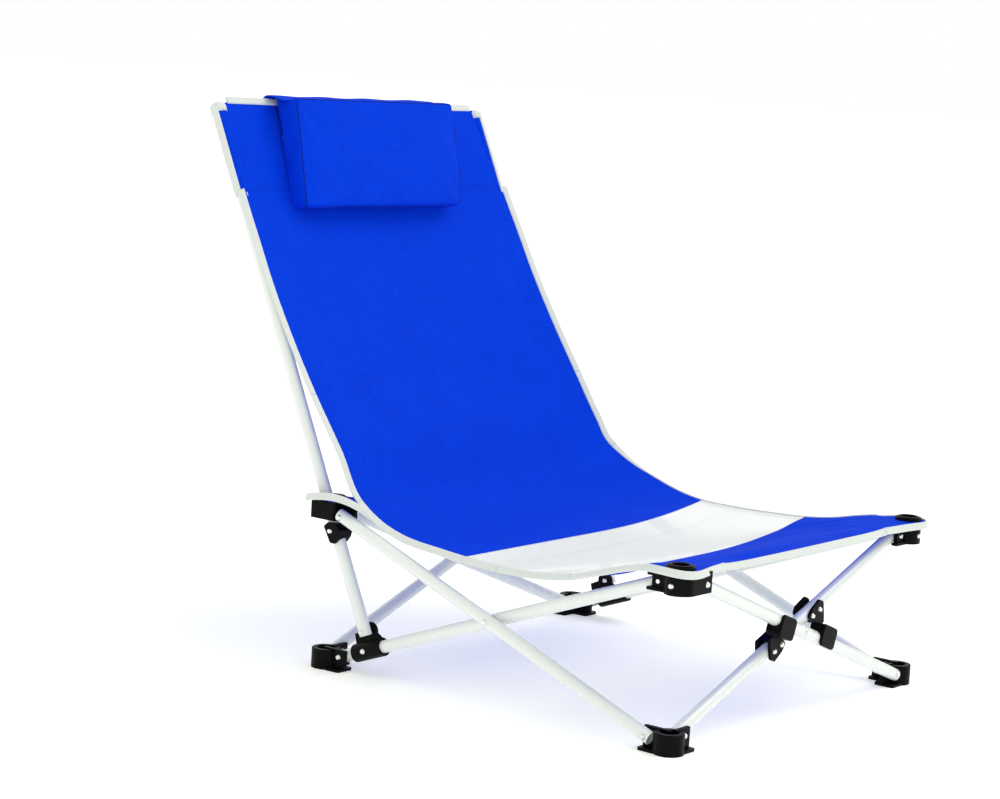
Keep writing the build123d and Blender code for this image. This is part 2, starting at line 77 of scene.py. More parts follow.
# ---- materials ----------------------------------------------------------------------------
class Shader:
    """A Principled material with short calls to add and link its nodes."""

    def __init__(self, name, colour, roughness, metallic=0.0, **sockets):
        self.material = bpy.data.materials.new(name)
        self.material.use_nodes = True
        self.tree = self.material.node_tree
        self.surface = self.tree.nodes["Principled BSDF"]
        self.surface.inputs["Base Color"].default_value = (*colour, 1)
        self.surface.inputs["Roughness"].default_value = roughness
        self.surface.inputs["Metallic"].default_value = metallic
        for socket, value in sockets.items():
            self.surface.inputs[socket.replace("_", " ")].default_value = value

    def node(self, kind, **values):
        """Add a node; a value names an input if there is one, and otherwise a property."""
        made = self.tree.nodes.new(kind)
        for key, value in values.items():
            socket = made.inputs.get(key.replace("_", " "))
            if socket is not None:
                socket.default_value = value
            else:
                setattr(made, key, value)
        return made

    def link(self, source, output, target, socket):
        self.tree.links.new(source.outputs[output], target.inputs[socket])

    def math(self, operation, first, second=None, clamp=False):
        """A math node; each operand is a number or a (node, output) pair."""
        made = self.node("ShaderNodeMath", operation=operation, use_clamp=clamp)
        for index, operand in enumerate((first, second)):
            if isinstance(operand, tuple):
                self.link(operand[0], operand[1], made, index)
            elif operand is not None:
                made.inputs[index].default_value = operand
        return made, "Value"

    def mix(self, share, first, second):
        """A colour between two, by a (node, output) share."""
        made = self.node("ShaderNodeMix", data_type="RGBA")
        self.link(share[0], share[1], made, 0)
        for socket, colour in ((6, first), (7, second)):
            if isinstance(colour[0], bpy.types.Node):
                self.link(colour[0], colour[1], made, socket)
            else:
                made.inputs[socket].default_value = (*colour, 1)
        return made, 2

    def bump(self, height, strength, distance):
        made = self.node("ShaderNodeBump", Strength=strength, Distance=distance)
        self.link(height[0], height[1], made, "Height")
        self.link(made, "Normal", self.surface, "Normal")

    def noise(self, scale, detail=3.0, coordinate="Object"):
        place = self.node("ShaderNodeTexCoord")
        made = self.node("ShaderNodeTexNoise", Scale=scale, Detail=detail)
        self.link(place, coordinate, made, "Vector")
        return made, "Fac"

    def threads(self, pitch, turn=0.0):
        """Warp and weft waves on the UV map, which is in metres; returns both heights."""
        place = self.node("ShaderNodeTexCoord")
        turned = self.node("ShaderNodeMapping", Rotation=(0, 0, turn))
        self.link(place, "UV", turned, "Vector")
        split = self.node("ShaderNodeSeparateXYZ")
        self.link(turned, "Vector", split, "Vector")
        waves = []
        for output in ("X", "Y"):
            angle = self.math("MULTIPLY", (split, output), 2 * math.pi / pitch)
            waves.append(self.math("SINE", angle))
        return waves


def make_woven(name, colour, shade, pitch):
    """Plain-woven polyester: a fine weave, a mottled tone and a soft sheen."""
    cloth = Shader(name, colour, 0.7, Sheen_Weight=0.008, Sheen_Roughness=0.4)
    cloth.surface.inputs["Specular IOR Level"].default_value = 0.02
    warp, weft = cloth.threads(pitch)
    weave = cloth.math("MULTIPLY", warp, weft)
    mottle = cloth.noise(420, 4)
    broad = cloth.noise(22, 3)
    fine = cloth.math("SUBTRACT", cloth.math("MULTIPLY", mottle, 1.6), 0.4)
    tone = cloth.math("ADD", fine, cloth.math("MULTIPLY", broad, 0.4))
    tone = cloth.math("ADD", tone, cloth.math("MULTIPLY", weave, 0.14), clamp=True)
    mixed = cloth.mix(tone, shade, colour)
    cloth.link(mixed[0], mixed[1], cloth.surface, "Base Color")
    cloth.bump(cloth.math("ADD", weave, cloth.math("MULTIPLY", mottle, 0.8)), 0.25, 0.00018)
    return cloth.material


def make_mesh_cloth():
    """Open white mesh: slanting ribs with rows of fine slits that show what is behind."""
    cloth = Shader("white_mesh", (0.95, 0.96, 0.955), 0.6, Sheen_Weight=0.1)
    pale, dark = (0.97, 0.98, 0.97), (0.84, 0.865, 0.85)
    slant = math.radians(38)
    across = cloth.threads(0.0030, slant)[0]
    fine_across, fine_along = cloth.threads(0.0015, slant)
    slit = cloth.math("GREATER_THAN", across, 0.45)
    rung = cloth.math("GREATER_THAN", fine_along, -0.75)
    hole = cloth.math("MULTIPLY", slit, rung)
    opaque = cloth.math("SUBTRACT", 1.0, cloth.math("MULTIPLY", hole, 0.85))
    cloth.link(opaque[0], opaque[1], cloth.surface, "Alpha")
    mottle = cloth.noise(260, 3)
    ribs = cloth.math("MULTIPLY", cloth.math("ADD", across, 1.0), 0.3)
    tone = cloth.math("ADD", ribs, cloth.math("MULTIPLY", mottle, 0.4), clamp=True)
    shade = cloth.mix(tone, pale, dark)
    cloth.link(shade[0], shade[1], cloth.surface, "Base Color")
    cloth.bump(cloth.math("ADD", across, fine_across), 0.3, 0.0003)
    return cloth.material


def make_paint():
    """Glossy white powder coat with a faint orange peel and a few dull scuffs."""
    paint = Shader("white_paint", (0.74, 0.77, 0.76), 0.28, Coat_Weight=0.5, Coat_Roughness=0.08)
    peel = paint.noise(900, 2)
    paint.bump(peel, 0.04, 0.00008)
    scuff = paint.noise(60, 6)
    rough = paint.math("ADD", paint.math("MULTIPLY", scuff, 0.12), 0.2)
    paint.link(rough[0], rough[1], paint.surface, "Roughness")
    tone = paint.mix(paint.noise(9, 3), (0.74, 0.775, 0.765), (0.79, 0.815, 0.81))
    paint.link(tone[0], tone[1], paint.surface, "Base Color")
    return paint.material


def make_moulding():
    """Satin black moulded plastic, finely grained and paler in broad swirls."""
    plastic = Shader("black_moulding", (0.003, 0.003, 0.0035), 0.4)
    plastic.surface.inputs["Specular IOR Level"].default_value = 0.06
    grain = plastic.noise(1500, 2)
    plastic.bump(grain, 0.12, 0.00015)
    swirl = plastic.noise(90, 4)
    rough = plastic.math("ADD", plastic.math("MULTIPLY", swirl, 0.22), 0.30)
    plastic.link(rough[0], rough[1], plastic.surface, "Roughness")
    tone = plastic.mix(swirl, (0.0015, 0.0015, 0.002), (0.005, 0.005, 0.006))
    plastic.link(tone[0], tone[1], plastic.surface, "Base Color")
    return plastic.material


def make_zinc():
    """Bright zinc plate with fine turned marks."""
    zinc = Shader("zinc_steel", (0.74, 0.74, 0.72), 0.24, metallic=1.0)
    marks = zinc.noise(900, 3)
    rough = zinc.math("ADD", zinc.math("MULTIPLY", marks, 0.25), 0.14)
    zinc.link(rough[0], rough[1], zinc.surface, "Roughness")
    zinc.bump(marks, 0.1, 0.0001)
    return zinc.material


def make_binding(name, colour, shade):
    """Ribbed grosgrain tape."""
    tape = Shader(name, colour, 0.8, Sheen_Weight=0.02)
    tape.surface.inputs["Specular IOR Level"].default_value = 0.1
    ribs = tape.threads(0.0011)[1]
    mottle = tape.noise(500, 3)
    tone = tape.mix(mottle, shade, colour)
    tape.link(tone[0], tone[1], tape.surface, "Base Color")
    tape.bump(tape.math("ADD", ribs, tape.math("MULTIPLY", mottle, 0.6)), 0.3, 0.0002)
    return tape.material


BLUE = (0.0005, 0.051, 0.78)
DEEP_BLUE = (0.0003, 0.027, 0.51)
materials = {
    "blue": make_woven("blue_polyester", BLUE, DEEP_BLUE, 0.0009),
    "mesh": make_mesh_cloth(),
    "paint": make_paint(),
    "moulding": make_moulding(),
    "zinc": make_zinc(),
    "binding": make_binding("white_binding", (0.76, 0.79, 0.78), (0.62, 0.66, 0.65)),
    "white_thread": make_binding("white_thread", (0.84, 0.86, 0.85), (0.72, 0.74, 0.73)),
    "blue_thread": make_binding("blue_thread", (0.0006, 0.018, 0.34), (0.0004, 0.010, 0.22)),
}
SLOT_MATERIALS = {
    "white_tube": "paint",
    "black_moulding": "moulding",
    "zinc_steel": "zinc",
    "blue_fabric": "blue",
    "white_mesh": "mesh",
    "white_binding": "binding",
}
slot_of = {}
for entry in frame["record"]["subparts"]:
    slot_of[entry["node"]] = entry["material_slot"]
for name, node in frame["nodes"].items():
    node.data.materials.clear()
    node.data.materials.append(materials[SLOT_MATERIALS[slot_of[name]]])


# ---- mesh helpers -------------------------------------------------------------------------
def add_mesh(name, points, faces, material, uvs=None, smooth=True, normals=None):
    """A mesh piece in the row frame, with one UV for each vertex, in metres."""
    mesh = bpy.data.meshes.new(name)
    mesh.from_pydata([tuple(point) for point in points], [], [tuple(face) for face in faces])
    if uvs is not None:
        layer = mesh.uv_layers.new(name="cloth")
        loops = np.zeros(len(mesh.loops), int)
        mesh.loops.foreach_get("vertex_index", loops)
        layer.data.foreach_set("uv", np.asarray(uvs, np.float32)[loops].ravel())
    mesh.polygons.foreach_set("use_smooth", [smooth] * len(mesh.polygons))
    mesh.update()
    if normals is not None:
        mesh.normals_split_custom_set_from_vertices([tuple(normal) for normal in normals])
    mesh.materials.append(materials[material])
    piece = bpy.data.objects.new(name, mesh)
    bpy.context.scene.collection.objects.link(piece)
    return piece


def grid_faces(rows, columns, closed=False, start=0, flip=False):
    """Quads of a grid of points stored row by row; closed joins the last column to the first."""
    faces = []
    for row in range(rows - 1):
        for column in range(columns if closed else columns - 1):
            after = (column + 1) % columns
            quad = [row * columns + column, row * columns + after]
            quad += [(row + 1) * columns + after, (row + 1) * columns + column]
            quad = [start + index for index in quad]
            faces.append(quad[::-1] if flip else quad)
    return faces


def sheet_faces(rows, columns, flip=False):
    """Faces of a grid's two layers, one stored after the other, and of the rim that joins them."""
    count = rows * columns
    faces = grid_faces(rows, columns, flip=flip)
    faces += grid_faces(rows, columns, start=count, flip=not flip)
    rim = list(range(columns)) + [row * columns + columns - 1 for row in range(1, rows)]
    rim += [(rows - 1) * columns + column for column in range(columns - 2, -1, -1)]
    rim += [row * columns for row in range(rows - 2, 0, -1)]
    for here, after in zip(rim, rim[1:] + rim[:1]):
        if flip:
            faces.append((here, after, after + count, here + count))
        else:
            faces.append((here, here + count, after + count, after))
    return faces


def unit(vectors):
    return vectors / np.maximum(np.linalg.norm(vectors, axis=-1, keepdims=True), 1e-12)


def spline(knots, values, places):
    """A smooth curve through values at uneven knots."""
    slopes = np.gradient(values, knots, axis=0)
    low = np.clip(np.searchsorted(knots, places, side="right") - 1, 0, len(knots) - 2)
    span = knots[low + 1] - knots[low]
    share = ((places - knots[low]) / span)[:, None]
    span = span[:, None]
    cube = share**3
    square = share**2
    ends = values[low] * (2 * cube - 3 * square + 1) + values[low + 1] * (3 * square - 2 * cube)
    leaving = slopes[low] * span * (cube - 2 * square + share)
    return ends + leaving + slopes[low + 1] * span * (cube - square)


def bell(values, middle, width):
    """A smooth bump of height 1."""
    return np.exp(-(((values - middle) / width) ** 2))


# ---- the sling's surface ------------------------------------------------------------------
# Side views of the sling, front to back along the cloth, in millimetres: (y, z) on the right
# edge, down the middle and on the left edge, then the half width at that place.
SLING = [
    ((485, 691), (488, 690), (485, 691), 262),
    ((461, 640), (466, 641), (459, 640), 263),
    ((431.5, 585), (443, 588), (431, 586), 265),
    ((408, 536), (421, 540), (404, 537), 265),
    ((381, 475), (393, 479), (367, 473), 262),
    ((343, 406), (355, 409), (322, 403), 260),
    ((300, 339), (311, 341), (278, 339), 259),
    ((253, 273), (262, 275), (237, 280), 258),
    ((216, 217), (217, 213), (207, 244), 258),
    ((181, 196), (181, 192), (170, 224), 259),
    ((148, 185), (146, 183), (134, 211), 259),
    ((85, 177), (85, 176), (82, 196), 258),
    ((52, 174), (52, 174), (52, 191.5), 257),
    ((-1, 171.5), (-1, 171), (-1, 190), 257),
    ((-55, 173), (-55, 169.5), (-55, 191), 257),
    ((-109, 181), (-109, 172), (-109, 194), 258),
    ((-151, 194), (-151, 182), (-151, 200), 260),
    ((-190, 205), (-190, 196), (-190, 208), 262),
    ((-214, 210), (-214, 203), (-214, 211.5), 263),
    ((-245, 213.3), (-245, 207), (-245, 213.3), 249),
    ((-268, 213.4), (-268, 208), (-268, 213.4), 247),
]
TOP, WAIST, SEAM, MESH_START, MIDDLE, MESH_END, HEM, FRONT = 0, 6, 8, 12, 13, 15, 18, 20
SLEEVE_END = 2
CLOTH = 0.0009
COLUMNS = 121
right_line = np.array([station[0] for station in SLING]) * MM
middle_line = np.array([station[1] for station in SLING]) * MM
left_line = np.array([station[2] for station in SLING]) * MM
half_widths = np.array([[station[3]] for station in SLING]) * MM
steps = np.linalg.norm(np.diff(middle_line, axis=0), axis=1)
knots = np.concatenate([[0], np.cumsum(steps)])
TOP_CORNER = 0.014


def sling_points(places, across):
    """Points of the sling at distances down the cloth and shares across it, from -1 to 1."""
    right = spline(knots, right_line, places)
    middle = spline(knots, middle_line, places)
    left = spline(knots, left_line, places)
    width = spline(knots, half_widths, places)[:, 0]
    from_top = np.clip(TOP_CORNER - places, 0, TOP_CORNER)
    width = width - (TOP_CORNER - np.sqrt(TOP_CORNER**2 - from_top**2))
    share = np.abs(across)[None, :, None] ** 2.4
    edge = np.where(across[None, :, None] < 0, right[:, None, :], left[:, None, :])
    profile = middle[:, None, :] * (1 - share) + edge * share
    x = width[:, None] * across[None, :]
    y, z = profile[..., 0], profile[..., 1]
    # The taut binding holds the edges up, and the cloth bellies just inside it.
    z = z - 0.008 * bell(x, -0.236, 0.016) * bell(y, -0.160, 0.042)
    z = z - 0.005 * bell(x, -0.10, 0.09) * bell(y, -0.250, 0.012)
    # Slack pulls into shallow creases across the back, and fans out from the seat corners.
    back = np.clip((z - 0.25) / 0.1, 0, 1) * np.clip((0.60 - z) / 0.1, 0, 1)
    crease = np.sin(z * 61 + x * 5.2) * 0.5 + np.sin(z * 39 - x * 9 + 1.2) * 0.5
    y = y + 0.0016 * back * crease * (1 - np.abs(across)[None, :] ** 4)
    # The head cushion leans on the back and pushes it away.
    y = y + 0.009 * bell(z, 0.570, 0.045) * bell(x, -0.01, 0.20)
    for side in (-1, 1):
        reach = np.hypot(x - side * 0.26, y + 0.26)
        fan = np.arctan2(y + 0.26, -side * (x - side * 0.26))
        z = z + 0.0011 * np.sin(fan * 15) * bell(reach, 0.11, 0.05) * (z < 0.22)
    return np.stack([x, y, z], axis=-1)


def sling_normals(places, across):
    """Unit normals on the sitter's side."""
    small = 0.0005
    along = sling_points(places + small, across) - sling_points(places - small, across)
    wide = sling_points(places, across + small) - sling_points(places, across - small)
    return unit(np.cross(along, wide))


def rows_between(first, last, pitch=0.006):
    start, end = knots[first], knots[last]
    count = max(2, int(round((end - start) / pitch)) + 1)
    places = np.linspace(start, end, count)
    if first == TOP:
        corner = TOP_CORNER * (1 - np.cos(np.linspace(0, math.pi / 2, 9)))
        places = np.concatenate([corner, places[places > TOP_CORNER + pitch / 2]])
    return places


def make_cloth(name, first, last, material):
    """The part of the sling between two stations, with its own thickness."""
    places = rows_between(first, last)
    across = np.linspace(-1, 1, COLUMNS)
    points = sling_points(places, across)
    normals = sling_normals(places, across)
    upper = points.reshape(-1, 3)
    lower = (points - normals * CLOTH).reshape(-1, 3)
    faces = sheet_faces(len(places), COLUMNS, flip=True)
    uvs = np.stack(np.broadcast_arrays(points[..., 0], places[:, None]), axis=-1).reshape(-1, 2)
    flat_normals = normals.reshape(-1, 3)
    return add_mesh(
        name, np.vstack([upper, lower]), faces, material,
        uvs=np.vstack([uvs, uvs]), normals=np.vstack([flat_normals, -flat_normals]),
    )


def sweep(name, line, inward, normal, section, material, start_length=0.0):
    """A closed section swept along a line. The section's points are (inward, normal) pairs."""
    rows = len(line)
    lengths = np.concatenate([[0], np.cumsum(np.linalg.norm(np.diff(line, axis=0), axis=1))])
    section = np.asarray(section, float)
    columns = section.shape[-2]
    section = np.broadcast_to(section, (rows, columns, 2))
    points = line[:, None, :] + section[..., :1] * inward[:, None, :]
    points = points + section[..., 1:] * normal[:, None, :]
    around = np.concatenate([[0], np.cumsum(np.linalg.norm(np.diff(section[0], axis=0), axis=1))])
    uvs = np.stack(np.broadcast_arrays(around[None, :], lengths[:, None] + start_length), axis=-1)
    faces = grid_faces(rows, columns, closed=True)
    faces.append(list(range(columns))[::-1])
    faces.append([(rows - 1) * columns + column for column in range(columns)])
    return add_mesh(name, points.reshape(-1, 3), faces, material, uvs=uvs.reshape(-1, 2))


def tape_section(width, thickness, overlap, corner=6):
    """A flattened round section: from overlap inside the cloth's edge to width outside it."""
    half = thickness / 2
    section = []
    for middle, first in ((overlap - half, -90), (overlap - width + half, 90)):
        for step in range(corner + 1):
            angle = math.radians(first + 180 * step / corner)
            section.append((middle + half * math.cos(angle), half * math.sin(angle)))
        if first == -90:
            for share in (0.25, 0.5, 0.75):
                section.append((middle - (width - 2 * half) * share, half * 1.12))
        else:
            for share in (0.25, 0.5, 0.75):
                section.append((middle + (width - 2 * half) * share, -half * 1.12))
    return section


TAPE_W = 0.0094
TAPE_T = 0.0026
TAPE_IN = 0.0015


def turned_frames(line, inward, normal, droop):
    """Turn each frame about the line, so that the tape's outer edge hangs by droop degrees."""
    angle = np.radians(np.broadcast_to(droop, (len(line),)))[:, None]
    outward = -inward * np.cos(angle) - normal * np.sin(angle)
    across = unit(np.cross(np.gradient(line, axis=0), outward))
    facing = np.sign(np.sum(across * normal, axis=1, keepdims=True))
    return -outward, across * np.where(facing == 0, 1, facing)


STITCH_PITCH = 0.0034
STITCH_LENGTH = 0.0021
STITCH_WIDTH = 0.0006


def sample(line, lengths, places):
    return np.stack([np.interp(places, lengths, line[:, axis]) for axis in range(3)], axis=1)


def stitch_rows(name, line, normal, lifts, material):
    """Short raised stitches along a line, once for each lift off it along the normal."""
    lengths = np.concatenate([[0], np.cumsum(np.linalg.norm(np.diff(line, axis=0), axis=1))])
    count = max(1, int(lengths[-1] / STITCH_PITCH))
    middles = (np.arange(count) + 0.5) * lengths[-1] / count
    template = []
    for share, swell in ((-1, 0.35), (-0.5, 1), (0.5, 1), (1, 0.35)):
        for corner in range(6):
            angle = corner * math.pi / 3
            reach = STITCH_WIDTH / 2 * swell
            template.append((share * STITCH_LENGTH / 2, math.cos(angle) * reach, math.sin(angle) * reach))
    template = np.array(template)
    points, faces = [], []
    for lift in lifts:
        shifted = line + normal * lift
        place = sample(shifted, lengths, middles)
        before, after = (sample(shifted, lengths, middles + step) for step in (-0.0005, 0.0005))
        along = unit(after - before)
        side = unit(np.cross(along, sample(normal, lengths, middles)))
        up = np.cross(side, along)
        for index in range(count):
            start = len(points)
            points.extend(template @ np.array([along[index], side[index], up[index]]) + place[index])
            faces += grid_faces(4, 6, closed=True, start=start)
            faces.append([start + corner for corner in range(6)][::-1])
            faces.append([start + 18 + corner for corner in range(6)])
    return add_mesh(name, points, faces, material)


def dress(piece, body, slot, *nodes, narrows=True):
    """Ride on a body, hide the CAD nodes it replaces and, with narrows, take a mesh of its own; the slot
    is not used.
    """
    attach(piece, body)
    if nodes:
        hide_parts(*nodes)
    if narrows:
        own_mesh(piece)
    return piece


CLOTH_PIECES = [
    ("back_cloth", TOP, WAIST, "blue", "right_post", "blue_fabric", "back_panel"),
    ("lower_back_cloth", WAIST, SEAM, "blue", "lower_back", "blue_fabric", "lower_back_panel"),
    ("seat_cloth", SEAM, MESH_START, "blue", "rear_seat", "blue_fabric", "seat_panel"),
    ("rear_mesh_cloth", MESH_START, MIDDLE, "mesh", "rear_seat", "white_mesh", "rear_mesh_panel"),
    ("front_mesh_cloth", MIDDLE, MESH_END, "mesh", "front_seat", "white_mesh", "front_mesh_panel"),
    ("front_cloth", MESH_END, HEM, "blue", "front_seat", "blue_fabric", "front_panel"),
    ("front_hem_cloth", HEM, FRONT, "blue", "front_right_hub", "blue_fabric", "front_hem"),
]


def edge_frames(places, side):
    """The edge's line, its inward direction along the cloth, and its normal."""
    one = np.array([float(side)])
    line = sling_points(places, one)[:, 0]
    inner = sling_points(places, one * 0.985)[:, 0]
    normal = sling_normals(places, one)[:, 0]
    inward = unit(inner - line)
    inward = unit(inward - normal * np.sum(inward * normal, axis=1, keepdims=True))
    return line, inward, normal


def bind(name, line, inward, normal, body, start_length=0.0, ripple=None, narrows=True):
    """Folded tape over an edge, with two rows of stitches that show on both faces."""
    section = np.array(tape_section(TAPE_W, TAPE_T, TAPE_IN))[None] * np.ones((len(line), 1, 1))
    if ripple is not None:
        section[..., 1] *= ripple[:, None]
    tape = sweep(name, line, inward, normal, section, "binding", start_length=start_length)
    dress(tape, body, "white_binding", narrows=narrows)
    lift = TAPE_T / 2 * 1.05
    for index, inset in enumerate((0.0002, 0.0062)):
        shifted = line - inward * inset
        row = stitch_rows(f"{name}_stitches_{index + 1}", shifted, normal, (lift, -lift), "white_thread")
        dress(row, body, "white_binding", narrows=narrows)


def make_side_tape(name, first, last, side, body):
    """Binding along one side edge of a piece of the sling; it hangs more along the seat."""
    places = rows_between(first, last, 0.003)
    line, inward, normal = edge_frames(places, side)
    seat = np.clip((places - knots[SEAM]) / 0.08, 0, 1)
    back_droop = 8 if side < 0 else -14
    droop = back_droop + (55 - back_droop) * seat
    if side < 0:
        # Just under the pocket the tape still wraps round the post.
        droop = droop + 37 * np.clip(1 - (places - knots[SLEEVE_END]) / 0.12, 0, 1)
    inward, normal = turned_frames(line, inward, normal, droop)
    ripple = 1 + 0.10 * np.sin(places * 610 + side) + 0.07 * np.sin(places * 283)
    bind(name, line, inward, normal, body, places[0], ripple)


for name, first, last, material, body, slot, node in CLOTH_PIECES:
    cloth = make_cloth(name, first, last, material)
    dress(cloth, body, slot, node)
    if last == FRONT:
        continue
    for side, word in ((-1, "right"), (1, "left")):
        start = SLEEVE_END if first == TOP else first
        make_side_tape(f"{name}_{word}_binding", start, last, side, body)


def cross_frames(place, limit, toward):
    """A line across the cloth, with the direction along the cloth as its inward one."""
    across = np.linspace(-limit, limit, 160)
    here = np.array([place])
    line = sling_points(here, across)[0]
    normal = sling_normals(here, across)[0]
    along = sling_points(here + 0.002 * toward, across)[0] - line
    tangent = unit(np.gradient(line, axis=0))
    along = unit(along - tangent * np.sum(along * tangent, axis=1, keepdims=True))
    return line, along, normal


def make_cross_tape(name, place, limit, toward, droop, body):
    line, inward, normal = cross_frames(place, limit, toward)
    inward, normal = turned_frames(line, inward, normal, droop)
    bind(name, line, inward, normal, body)


POST_FOOT = np.array([260, 197.6, 56.0]) * MM
POST_LEAN = math.radians(24.83)
POST_WAY = np.array([0, math.sin(POST_LEAN), math.cos(POST_LEAN)])
POST_FRONT = np.array([0, -math.cos(POST_LEAN), math.sin(POST_LEAN)])
SLEEVE_Z = (0.578, 0.684)
SLEEVE_R = 0.0094
SLEEVE_TAPE_TURN = {"right": 0.5, "left": 1.3}
DOME_END = math.pi / 2 * 0.97


def post_tube(side, radii, heights, angles):
    """Points round a post: rows have a radius and a height, columns an angle from outward to front."""
    along = (np.asarray(heights) - POST_FOOT[2]) / POST_WAY[2]
    axis = POST_FOOT * (side, 1, 1) + along[:, None] * POST_WAY
    outward = np.array([side, 0, 0])
    ring = np.cos(angles)[:, None] * outward + np.sin(angles)[:, None] * POST_FRONT
    return axis[:, None] + ring[None] * np.asarray(radii)[:, None, None]


def capped_tube(name, outer, inner, heights, turns, side, material):
    """A tube with a wall, open below and closed above, from its outer and inner rows of points."""
    rows, columns = outer.shape[:2]
    count = rows * columns
    flip = side < 0
    faces = grid_faces(rows, columns, closed=True, flip=not flip)
    faces += grid_faces(rows, columns, closed=True, start=count, flip=flip)
    for column in range(columns):
        after = (column + 1) % columns
        quad = (column, after, after + count, column + count)
        faces.append(quad[::-1] if flip else quad)
    cap = [(rows - 1) * columns + column for column in range(columns)]
    inside_cap = [count + index for index in cap]
    faces.append(cap if flip else cap[::-1])
    faces.append(inside_cap[::-1] if flip else inside_cap)
    around = turns * SLEEVE_R
    uvs = np.stack(np.broadcast_arrays(around[None, :], heights[:, None]), axis=-1).reshape(-1, 2)
    points = np.vstack([outer.reshape(-1, 3), inner.reshape(-1, 3)])
    return add_mesh(name, points, faces, material, uvs=np.vstack([uvs, uvs]))


def make_sleeve(word, side):
    """The pocket sewn round a post's top, closed above, with binding down its outer face."""
    body, top = f"{word}_post", SLEEVE_Z[1]
    turns = np.linspace(0, 2 * math.pi, 41)[:-1]
    dome = np.linspace(0, DOME_END, 8)[1:]
    straight = np.linspace(*SLEEVE_Z, 26)
    heights = np.concatenate([straight, top + 0.0055 * np.sin(dome)])
    swell = 1 + 0.03 * np.sin(heights * 210) + 0.02 * np.sin(heights * 505 + 1)
    radii = np.concatenate([np.ones(len(straight)), np.cos(dome)]) * SLEEVE_R * swell
    outer = post_tube(side, radii, heights, turns)
    inside = heights - CLOTH * (heights > top)
    inner = post_tube(side, radii - CLOTH * radii / SLEEVE_R, inside, turns)
    sleeve = capped_tube(f"{word}_sleeve", outer, inner, heights, turns, side, "blue")
    dress(sleeve, body, "blue_fabric", f"{word}_post_pocket", narrows=False)
    # The binding stands off the sleeve's outer face, and a white cap closes its top.
    turn = SLEEVE_TAPE_TURN[word]
    places = np.linspace(0.575, top + 0.001, 60)
    line = post_tube(side, np.full(60, SLEEVE_R + 0.0004), places, np.array([turn]))[:, 0]
    normal = np.array([side * math.cos(turn), 0, 0]) + POST_FRONT * math.sin(turn)
    normal = np.tile(normal, (60, 1))
    inward = unit(np.cross(normal, unit(np.gradient(line, axis=0)))) * side
    bind(f"{word}_sleeve_binding", line + inward * 0.0004, inward, normal, body, narrows=False)
    dome = np.linspace(0, DOME_END, 10)
    heights = np.concatenate([[top - 0.0065], top - 0.001 + 0.0078 * np.sin(dome)])
    radii = np.concatenate([[SLEEVE_R + 0.0010], (SLEEVE_R + 0.0012) * np.cos(dome)])
    outer = post_tube(side, radii, heights, turns)
    inner = post_tube(side, radii * 0.86, heights - 0.0014 * (heights > top), turns)
    tip = capped_tube(f"{word}_sleeve_tip", outer, inner, heights, turns, side, "binding")
    dress(tip, body, "white_binding", narrows=False)


make_sleeve("right", -1)
make_sleeve("left", 1)
FRONT_LIMIT = 0.745
make_cross_tape("top_binding", knots[TOP], 0.995, 1, 4, "right_post")
make_cross_tape("front_binding", knots[FRONT], FRONT_LIMIT, -1, 55, "front_right_hub")

# The stitched line across the back that closes the post pockets' sleeve.
for index, place in enumerate((knots[2], knots[2] + 0.004)):
    line, along, normal = cross_frames(place, 0.985, 1)
    row = stitch_rows(f"back_seam_{index + 1}", line, normal, (0.0001, -CLOTH - 0.0001), "blue_thread")
    dress(row, "right_post", "blue_fabric")


# ---- the corners that the rings clamp ---------------------------------------------------------
def smooth_path(stations, count):
    """A smooth curve through points in millimetres, evenly sampled, in metres."""
    points = np.array(stations, float) * MM
    lengths = np.concatenate([[0], np.cumsum(np.linalg.norm(np.diff(points, axis=0), axis=1))])
    fine = spline(lengths, points, np.linspace(0, lengths[-1], 400))
    lengths = np.concatenate([[0], np.cumsum(np.linalg.norm(np.diff(fine, axis=0), axis=1))])
    return sample(fine, lengths, np.linspace(0, lengths[-1], count))


def ring_cloth(name, centre, inner_r, outline, body, node):
    """Cloth between a hole round a ring's middle and an outline round it."""
    middle = np.array([centre[0], centre[1], centre[2]]) * MM
    away = outline - middle
    away[:, 2] = 0
    inner = middle + unit(away) * inner_r * MM
    rows = 12
    shares = np.linspace(0, 1, rows)[:, None, None]
    flat = inner[None] * (1 - shares) + outline[None] * shares
    lift = inner[None, :, 2] + (outline[None, :, 2] - inner[None, :, 2]) * shares[..., 0] ** 1.7
    flat[..., 2] = lift
    upper = flat.reshape(-1, 3)
    lower = upper - np.array([0, 0, CLOTH])
    faces = sheet_faces(rows, len(outline))
    uvs = np.vstack([upper[:, :2], upper[:, :2]])
    cloth = add_mesh(name, np.vstack([upper, lower]), faces, "blue", uvs=uvs)
    dress(cloth, body, "blue_fabric", node, narrows=False)


def bind_corner(name, path, centre, droop, body):
    """Binding along a corner's outline, hanging by droop degrees."""
    tangent = unit(np.gradient(path, axis=0))
    up = np.zeros_like(path)
    up[:, 2] = 1
    inward = unit(np.cross(up, tangent))
    toward = np.array([centre[0], centre[1], 0]) * MM - path * (1, 1, 0)
    inward = inward * np.sign(np.sum(inward * toward, axis=1, keepdims=True))
    inward, normal = turned_frames(path, inward, up, droop)
    bind(name, path, inward, normal, body, narrows=False)


